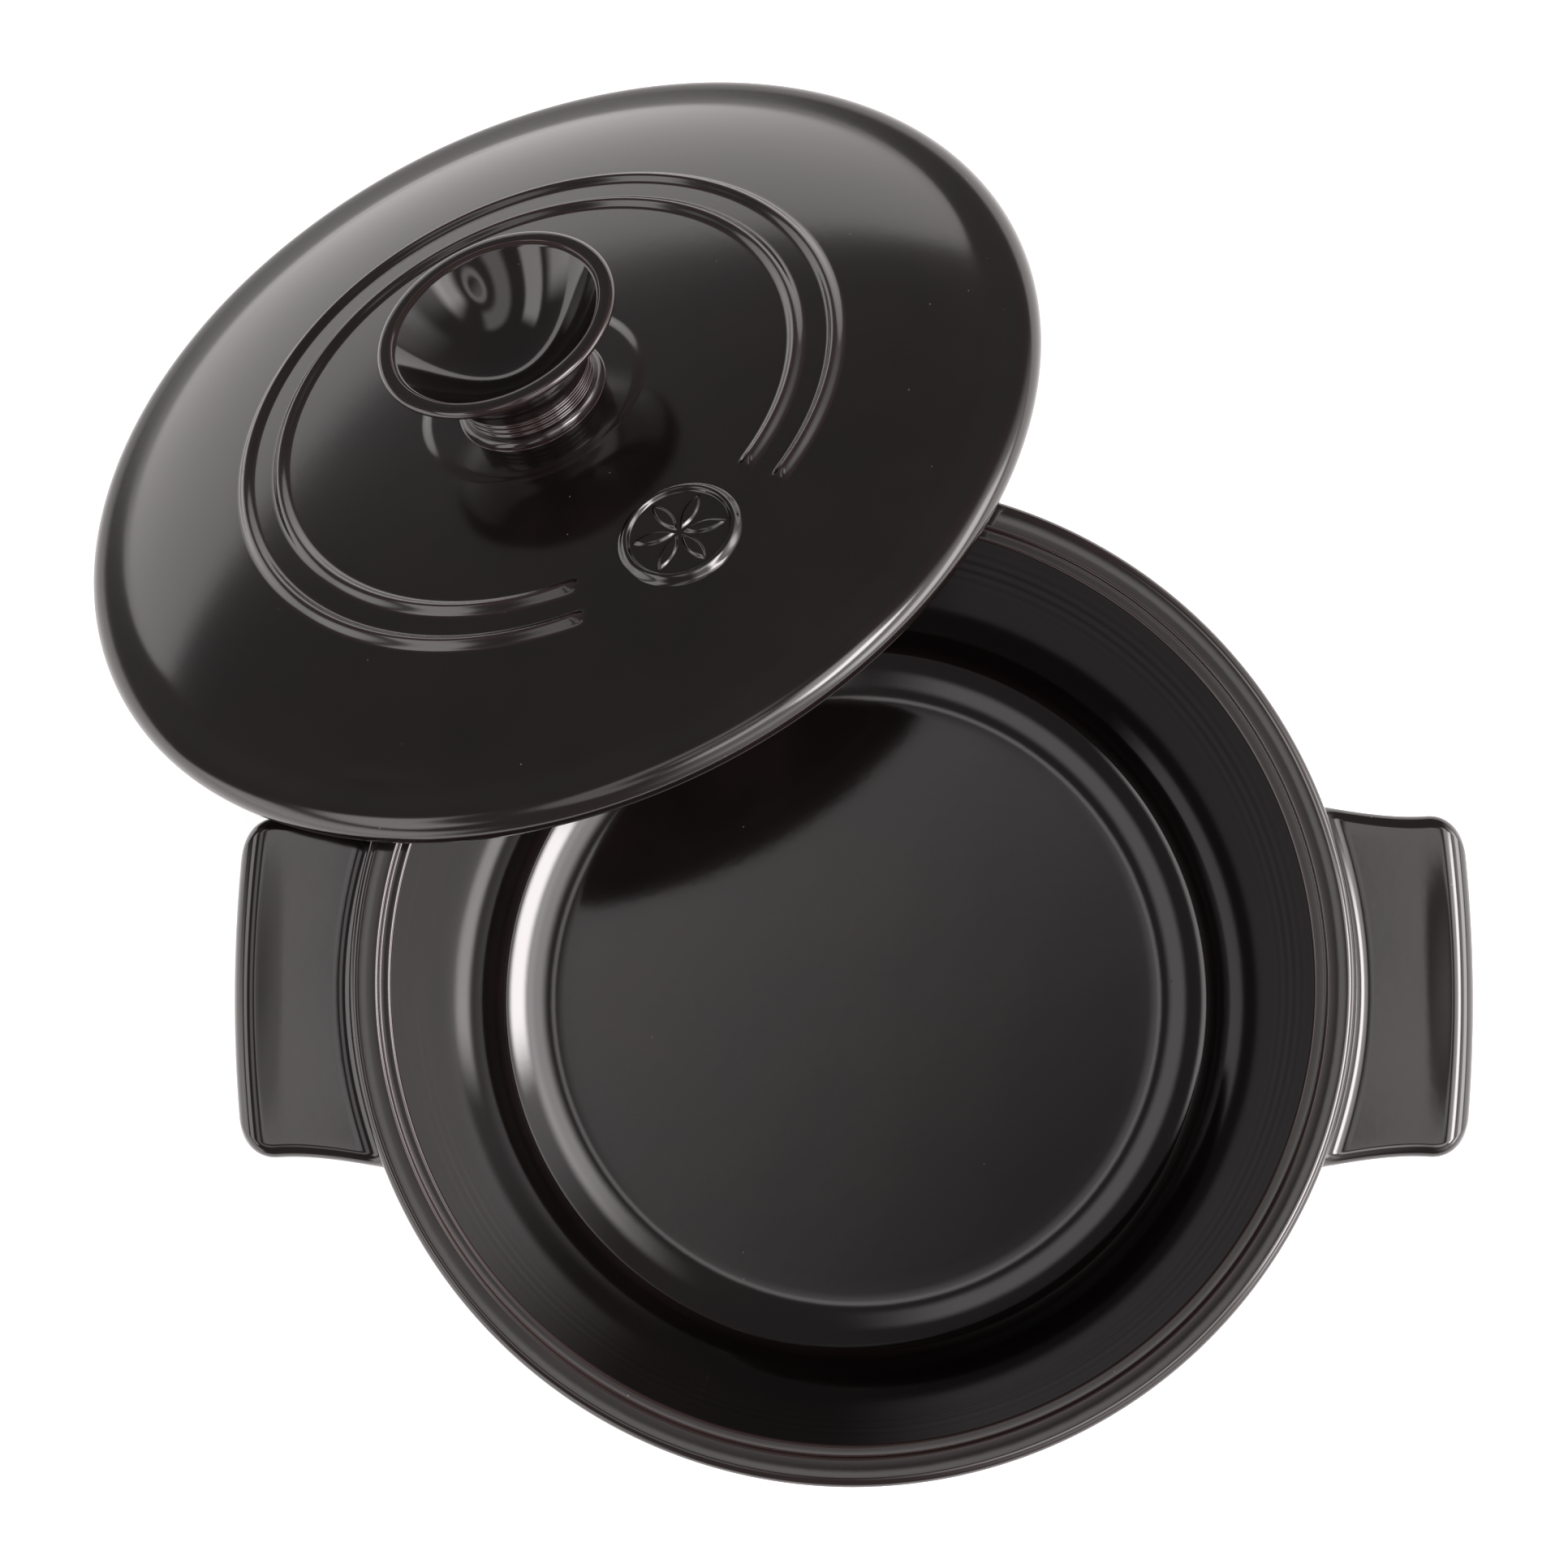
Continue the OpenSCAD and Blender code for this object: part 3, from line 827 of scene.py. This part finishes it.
    def softbox(self, tree, way, elevation, softbox):
        """Radiance of one softbox: full where the direction's azimuth and elevation both lie
        within its half sizes, and fading to nothing over its soft edge."""
        azimuth, height, half_w, half_h, edge_w, edge_h, radiance = softbox
        turn = math.radians(azimuth)
        ahead = add_node(
            tree, "ShaderNodeVectorMath", [(way, 0)], operation="DOT_PRODUCT",
            inputs={1: (math.cos(turn), math.sin(turn), 0)},
        )
        aside = add_node(
            tree, "ShaderNodeVectorMath", [(way, 0)], operation="DOT_PRODUCT",
            inputs={1: (-math.sin(turn), math.cos(turn), 0)},
        )
        swing = add_node(
            tree, "ShaderNodeMath", [(aside.outputs["Value"], 0), (ahead.outputs["Value"], 1)],
            operation="ARCTAN2",
        )
        rise = add_node(
            tree, "ShaderNodeMath", [(elevation, 0)], operation="SUBTRACT",
            inputs={1: math.radians(height)},
        )
        shares = []
        for value, half, edge in ((swing, half_w, edge_w), (rise, half_h, edge_h)):
            size = add_node(tree, "ShaderNodeMath", [(value.outputs[0], 0)], operation="ABSOLUTE")
            shares.append(add_node(
                tree, "ShaderNodeMapRange", [(size.outputs[0], "Value")],
                interpolation_type="SMOOTHSTEP",
                From_Min=math.radians(half), From_Max=math.radians(half + edge),
                To_Min=1.0, To_Max=0.0,
            ).outputs[0])
        inside = add_node(
            tree, "ShaderNodeMath", [(shares[0], 0), (shares[1], 1)], operation="MULTIPLY"
        )
        return add_node(
            tree, "ShaderNodeMath", [(inside.outputs[0], 0)], operation="MULTIPLY", inputs={1: radiance}
        ).outputs[0]


class CASSEROLE_OT_pot(Operator):
    """Make the pot body"""

    bl_idname = "casserole.pot"
    bl_label = "Pot body"

    def execute(self, context):
        sizes = context.scene.casserole
        profile = pot_profile(sizes.pot)
        rings = revolve(profile, even_turns(POT_TURNS))
        piece = closed_skin("pot_body", rings)
        point_value(piece, "thin", to_vertices(thinning(rings)))
        materials = [pot_glaze(sizes.finish), bare_stoneware(sizes.finish)]
        hand_in(piece, "pot", ["vessel"], materials)
        centres = np.zeros(len(piece.data.polygons) * 3)
        piece.data.polygons.foreach_get("center", centres)
        bare = (centres[2::3] < sizes.pot.bare_h).astype(np.int32)
        piece.data.polygons.foreach_set("material_index", bare)
        return {"FINISHED"}


def handle_rings(all_sizes):
    """Rings of a lug handle from inside the wall outwards along X.

    Every ring is a rounded rectangle. Near the wall the rings lie on cylinders about the pot's
    axis, and the top, bottom and sides curve away from the wall in coves that start along it;
    further out they flatten to the bowed nose, where the ring draws in round the outer edge
    and then closes over the nose to a point."""
    pot, handle = all_sizes.pot, all_sizes.handle
    wall = wall_radius(pot)
    top = pot.height - handle.drop
    reach = handle.reach - wall
    hollow = handle.root_h - handle.thick
    cove = handle.cove_r

    # Stations: t is the distance out from the wall, negative inside it.
    in_cove = cove * (1 - np.cos(np.radians(np.linspace(4, 90, 16))))
    draw_in = max(handle.corner_r, handle.edge_r)
    corner_start = reach - draw_in
    middle = np.linspace(cove, corner_start, 14)[1:-1]
    corner = corner_start + draw_in * np.sin(np.radians(np.linspace(0, 90, 20)))
    closing = np.linspace(1, 0, 11)[1:]
    in_wall = [-handle.root_in, -handle.root_in / 3, 0]
    t = np.concatenate([in_wall, in_cove, middle, corner, np.full(len(closing), reach)])
    shrink = np.concatenate([np.ones(len(t) - len(closing)), closing])[:, None]

    # Half width, top and underside at each station
    outward = np.clip(t, 0, None)
    rise = quarter(cove - outward, cove)
    fall = hollow * (1 - np.sqrt(1 - (1 - outward / reach).clip(0, 1) ** 2))
    root = handle.root_spread
    half = handle.width / 2 + handle.root_out / root * quarter(root - outward, root)
    half += handle.flare / 2 * (1 - smooth_step(outward / (FLARE_END * reach)))
    half -= handle.waist * bell(outward - WAIST_AT * reach, reach)
    half -= quarter(outward - (reach - handle.corner_r), handle.corner_r)
    edge = quarter(outward - (reach - handle.edge_r), handle.edge_r)
    high = top + rise - edge
    low = top - handle.thick - fall + edge

    # Cross-sections, with the top sunk a little between its edges
    tall = (high - low) / 2
    radius = np.minimum(handle.side_r, 0.95 * np.minimum(tall, half))
    y, z = rounded_rectangles(half, tall, radius, 48)
    y, z = y * shrink, z * shrink
    above = np.clip(z / tall[:, None], -1, 1)
    sunk = smooth_step((above - DISH_START) / (1 - DISH_START))
    sunk *= smooth_step(outward / cove)[:, None] * bell(y, DISH_WIDTH * handle.width)
    sunk *= smooth_step((reach - outward) / (DISH_END * draw_in))[:, None]
    z += (high + low)[:, None] / 2 - handle.dish * sunk

    # Round the pot's axis near the wall, and along the bowed nose further out. The rings inside
    # the wall lean with it.
    neck_z = pot.height - 2 * pot.lip_r - pot.lip_under
    inset = np.where((t < 0)[:, None], (neck_z - z) * math.tan(pot.slope), 0)
    radial = np.sqrt(np.maximum((wall + t[:, None] - inset) ** 2 - y**2, 0))
    bowed = wall + t[:, None] - handle.bow * (y / (handle.width / 2)) ** 2
    blend = smooth_step((outward - cove) / (corner_start - cove))[:, None]
    return np.stack([radial * (1 - blend) + bowed * blend, y + handle.shift, z], 2)


def quarter(distance, radius):
    """How far a quarter circle of that radius has risen at a distance from its end."""
    d = np.clip(distance, 0, radius)
    return radius - np.sqrt(np.maximum(radius**2 - d**2, 0))


def rounded_rectangles(half, tall, radius, per_side):
    """Points round rectangles of half-width half and half-height tall with corner radii, one
    row per rectangle: each side has a quarter circle and a straight run, of half its points."""
    arc_points = per_side // 2
    share = np.arange(1, per_side - arc_points + 1) / (per_side - arc_points + 1)
    middle_y, middle_z, r = (half - radius)[:, None], (tall - radius)[:, None], radius[:, None]
    ys, zs = [], []
    for side, (sign_y, sign_z) in enumerate(((1, 1), (-1, 1), (-1, -1), (1, -1))):
        turn = np.pi / 2 * side + np.linspace(0, np.pi / 2, arc_points)
        y, z = sign_y * middle_y + r * np.cos(turn), sign_z * middle_z + r * np.sin(turn)
        along_y = side % 2 == 0
        run_y = y[:, -1:] * (1 - 2 * share) if along_y else np.repeat(y[:, -1:], len(share), 1)
        run_z = np.repeat(z[:, -1:], len(share), 1) if along_y else z[:, -1:] * (1 - 2 * share)
        ys += [y, run_y]
        zs += [z, run_z]
    return np.concatenate(ys, 1), np.concatenate(zs, 1)


class CASSEROLE_OT_handles(Operator):
    """Make the two lug handles"""

    bl_idname = "casserole.handles"
    bl_label = "Lug handles"

    def execute(self, context):
        sizes = context.scene.casserole
        rings = handle_rings(sizes)
        inner = rings[0]
        root = np.array([inner[:, 0].max(), inner[:, 1].mean(), inner[:, 2].mean()])
        rings = np.concatenate([np.broadcast_to(root, (1, *inner.shape)), rings])
        for name, sign in (("handle_right", 1), ("handle_left", -1)):
            piece = closed_skin("lug_" + name, rings * np.array([sign, 1, 1]))
            point_value(piece, "thin", even_coat(piece))
            hand_in(piece, "pot", [name], [pot_glaze(sizes.finish)])
        return {"FINISHED"}


class CASSEROLE_OT_lid(Operator):
    """Make the lid plate with its moulded ridges"""

    bl_idname = "casserole.lid"
    bl_label = "Lid plate"

    def execute(self, context):
        sizes = context.scene.casserole
        level = lid_levels(sizes.lid, sizes.pot)
        azimuth, _, _ = medallion_place(sizes, level)
        gap_middle = azimuth + sizes.lid.gap_turn
        turns = self.turns(gap_middle)
        rings = revolve(self.profile(sizes, level), turns)
        rings = self.ridges(sizes, level, rings, turns, gap_middle)
        thin = thinning(rings)
        rings = placed(rings, lean_matrix(sizes.lid, sizes.pot, level))
        piece = closed_skin("lid_dome", rings)
        point_value(piece, "thin", to_vertices(thin))
        hand_in(piece, "lid", ["lid_plate"], [lid_glaze(sizes.finish)])
        return {"FINISHED"}

    def turns(self, middle):
        """Angles round the lid: three times as close where the ridges end as elsewhere."""
        near = math.radians(GAP_NEAR)
        fine = np.linspace(-near, near, 160, endpoint=False)
        coarse = np.linspace(near, 2 * np.pi - near, 250, endpoint=False)
        return middle + np.concatenate([fine, coarse])

    def profile(self, sizes, level):
        """Half section from the crown out over the boss, dome and brim, round the edge, in
        under the brim, round the flange and back along the ceiling."""
        lid, knob, edge_r = sizes.lid, sizes.knob, level["edge_r"]
        boss = knob.stem_d / 2 + knob.foot + knob.boss_margin
        ridge_in = level["ridge_r"] - lid.ridge_pitch - lid.ridge_w
        ridge_out = level["ridge_r"] + lid.ridge_w
        near, next_to = knob.boss_slope, knob.boss_slope + 1 * MM
        crease_start = level["dome_r"] - 5 * MM
        radius = np.concatenate([
            np.linspace(0, boss - next_to, 6),
            np.linspace(boss - near, boss + near, 14),
            np.linspace(boss + next_to, ridge_in, 12, endpoint=False),
            np.linspace(ridge_in, ridge_out, 56, endpoint=False),
            np.linspace(ridge_out, crease_start, 10, endpoint=False),
            np.linspace(crease_start, level["edge_c"], 22, endpoint=False),
        ])
        boss_top = knob.boss_h * (1 - smooth_step((radius - boss) / knob.boss_slope + 0.5))
        top = np.stack([radius, dome_top(lid, level, radius) + boss_top], 1)
        corner = lid.corner_r
        inner = np.linspace(level["flange_in"] - 2 * corner, 0, 14)
        dome_under = level["dome_z"] + lid.rise * (1 - (inner / level["dome_r"]) ** 4) - lid.dome_t
        ceiling = np.minimum(level["ceiling"], dome_under)
        return np.concatenate([
            top,
            arc(level["edge_c"], 0, edge_r, 90, -90, 26),
            [[level["flange_out"] + 2 * corner, -edge_r]],
            arc(level["flange_out"] + corner, -edge_r - corner, corner, 90, 180, 5),
            arc(level["flange_out"] - corner, level["flange_z"] + corner, corner, 0, -90, 6),
            arc(level["flange_in"] + corner, level["flange_z"] + corner, corner, -90, -180, 6),
            [[level["flange_in"], ceiling[0] - 4 * corner]],
            np.stack([inner, ceiling], 1),
        ])

    def ridges(self, sizes, level, rings, turns, gap_middle):
        """Raises two round-topped ridges, which stop with round ends on both sides of the gap."""
        lid, medallion = sizes.lid, sizes.medallion
        radius = np.linalg.norm(rings[:, :, :2], axis=2)
        on_top = rings[:, :, 2] > level["edge_r"] + 1 * MM
        gap = math.asin((medallion.width / 2 + lid.gap_space) / level["ridge_r"])
        off = np.abs((turns - gap_middle + np.pi) % (2 * np.pi) - np.pi)
        for crest in (level["ridge_r"], level["ridge_r"] - lid.ridge_pitch):
            past_end = (off - gap)[None, :] * crest
            end = smooth_step(past_end / lid.ridge_w + 0.5)
            height = lid.ridge_h * bell(radius - crest, lid.ridge_w) * end
            rings[:, :, 2] += np.where(on_top, height, 0)
        return rings


class CASSEROLE_OT_knob(Operator):
    """Make the goblet-shaped knob"""

    bl_idname = "casserole.knob"
    bl_label = "Knob"

    def execute(self, context):
        sizes = context.scene.casserole
        level = lid_levels(sizes.lid, sizes.pot)
        profile = self.profile(sizes.knob) + [0, level["crown"] + sizes.knob.boss_h]
        rings = revolve(profile, even_turns(KNOB_TURNS))
        thin = thinning(rings)
        rings = placed(rings, lean_matrix(sizes.lid, sizes.pot, level))
        piece = closed_skin("knob", rings)
        point_value(piece, "thin", to_vertices(thin))
        hand_in(piece, "lid", ["lid_knob"], [pot_glaze(sizes.finish)])
        return {"FINISHED"}

    def profile(self, knob):
        """Half section from under the foot, up the grooved stem, out along the flare, over
        the lip and down the cup, whose floor is a parabola."""
        stem = knob.stem_d / 2
        half_lip = knob.lip / 2
        lip_x = knob.width / 2 - half_lip
        lip_z = knob.height - half_lip
        cup_r = lip_x - half_lip
        corner, inner = knob.lip_outer_r, knob.lip_inner_r
        share = np.linspace(0, 1, 25)[:-1]
        flare_x = stem + (lip_x - stem) * share**knob.flare
        flare = np.stack([flare_x, knob.stem_h + (lip_z - knob.stem_h) * share], 1)
        cup_share = np.linspace(1, 0, 30)
        cup = np.stack([cup_r * cup_share, knob.height - knob.cup * (1 - cup_share**2)], 1)
        stem_z = np.linspace(knob.foot, knob.stem_h, 60)[1:-1]
        pitch = (knob.stem_h - knob.foot) / (knob.grooves + 1)
        depth = sum(
            knob.groove_depth * bell(stem_z - knob.foot - pitch * i, knob.groove_w)
            for i in range(1, knob.grooves + 1)
        )
        shaft = np.stack([stem - depth, stem_z], 1)
        return outline(
            [[0, -0.5 * MM], [stem + knob.foot, -0.5 * MM]],
            arc(stem + knob.foot, knob.foot, knob.foot, 270, 180, 8),
            shaft,
            flare[:-1],
            arc(lip_x + half_lip - corner, knob.height - corner, corner, -40, 90, 12),
            arc(cup_r + inner, knob.height - inner, inner, 90, 165, 6),
            cup,
            step=KNOB_STEP,
        )


class CASSEROLE_OT_medallion(Operator):
    """Make the moulded medallion"""

    bl_idname = "casserole.medallion"
    bl_label = "Medallion"

    def execute(self, context):
        sizes = context.scene.casserole
        lid = sizes.lid
        level = lid_levels(lid, sizes.pot)
        azimuth, centre, slope = medallion_place(sizes, level)
        place = (
            Matrix.Rotation(azimuth, 4, "Z")
            @ Matrix.Translation((centre, 0, float(dome_top(lid, level, centre))))
            @ Matrix.Rotation(slope, 4, "Y")
        )
        radius, height = self.relief(sizes.medallion)
        turns = even_turns(MEDALLION_TURNS)
        x, y = radius[:, None] * np.cos(turns), radius[:, None] * np.sin(turns)
        level_top = height[:, None] + np.where(
            height[:, None] > 0, self.petals(sizes.medallion, x, y), 0
        )
        foot = smooth_step((radius[:, None] - sizes.medallion.width / 2 + 1 * MM) / (1.6 * MM))
        flat = np.stack([x, y, np.zeros_like(x)], 2)
        local = placed(flat, place)
        dome = dome_top(lid, level, np.linalg.norm(local[:, :, :2], axis=2)) - local[:, :, 2]
        z = level_top + dome * foot
        rings = placed(np.stack([x, y, z], 2), place)
        rings = placed(rings, lean_matrix(lid, sizes.pot, level))
        piece = closed_skin("medallion", rings)
        point_value(piece, "thin", even_coat(piece))
        hand_in(piece, "lid", ["lid_medallion"], [lid_glaze(sizes.finish)])
        return {"FINISHED"}

    def relief(self, medallion):
        """Radius and height of rings from the middle of the field, over the soft border, down
        its foot and back under the dome to the middle."""
        outer = medallion.width / 2
        crest = medallion.thick / 2
        field = crest - medallion.field_drop
        inner = outer - medallion.border
        radius = np.concatenate([
            np.linspace(0, inner - 1 * MM, 46),
            np.linspace(inner - 1 * MM, outer + 1.4 * MM, 44)[1:],
        ])
        into = smooth_step((radius - inner) / medallion.soft + 0.5)
        down = smooth_step((radius - outer + medallion.foot_in) / medallion.foot_w)
        height = field + (crest - field) * into - (crest + medallion.foot_sink) * down
        under = np.linspace(outer + 0.6 * MM, 0, 6)
        return (
            np.concatenate([radius, under]),
            np.concatenate([height, np.full(6, -medallion.thick / 2)]),
        )

    def petals(self, medallion, x, y):
        """Height of the rosette over the field: pointed petals, each where two circles cross,
        with round shoulders."""
        field_r = medallion.width / 2 - medallion.border
        long = field_r - 2 * medallion.petal_space
        wide = medallion.petal_w
        big = (long**2 + wide**2) / (4 * wide)
        sector = 2 * np.pi / medallion.petals
        turn = (np.arctan2(y, x) + sector / 2) % sector - sector / 2
        reach = np.hypot(x, y)
        along, side = reach * np.cos(turn) - field_r / 2, reach * np.sin(turn)
        inside = big - np.hypot(along, np.abs(side) + big - wide / 2)
        height = medallion.field_drop - medallion.petal_drop
        return height * smooth_step(inside / (0.9 * MM) + 0.25)


class CASSEROLE_PT_panel(Panel):
    """Lists the pieces and their sizes"""

    bl_idname = "CASSEROLE_PT_panel"
    bl_label = "Casserole"
    bl_space_type = "VIEW_3D"
    bl_region_type = "UI"
    bl_category = "Casserole"

    def draw(self, context):
        sizes = context.scene.casserole
        for operator in OPERATORS:
            self.layout.operator(operator.bl_idname)
        for name in ("pot", "handle", "lid", "medallion", "knob", "finish", "studio"):
            box = self.layout.box()
            box.label(text=name.capitalize())
            group = getattr(sizes, name)
            for key in group.__annotations__:
                box.prop(group, key)


GROUPS = (
    PotSizes,
    HandleSizes,
    LidSizes,
    MedallionSizes,
    KnobSizes,
    Finish,
    StudioSizes,
    Casserole,
)
OPERATORS = (
    CASSEROLE_OT_stage,
    CASSEROLE_OT_pot,
    CASSEROLE_OT_handles,
    CASSEROLE_OT_lid,
    CASSEROLE_OT_knob,
    CASSEROLE_OT_medallion,
)


def register():
    """Makes the classes and the scene's casserole known."""
    for cls in (*GROUPS, *OPERATORS, CASSEROLE_PT_panel):
        bpy.utils.register_class(cls)
    bpy.types.Scene.casserole = PointerProperty(type=Casserole)


def unregister():
    """Takes them away again."""
    del bpy.types.Scene.casserole
    for cls in reversed((*GROUPS, *OPERATORS, CASSEROLE_PT_panel)):
        bpy.utils.unregister_class(cls)


def main():
    """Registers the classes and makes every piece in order."""
    register()
    bpy.context.scene.view_settings.view_transform = "Standard"
    bpy.ops.casserole.stage()
    bpy.ops.casserole.pot()
    bpy.ops.casserole.handles()
    bpy.ops.casserole.lid()
    bpy.ops.casserole.knob()
    bpy.ops.casserole.medallion()


if __name__ == "__main__":
    main()
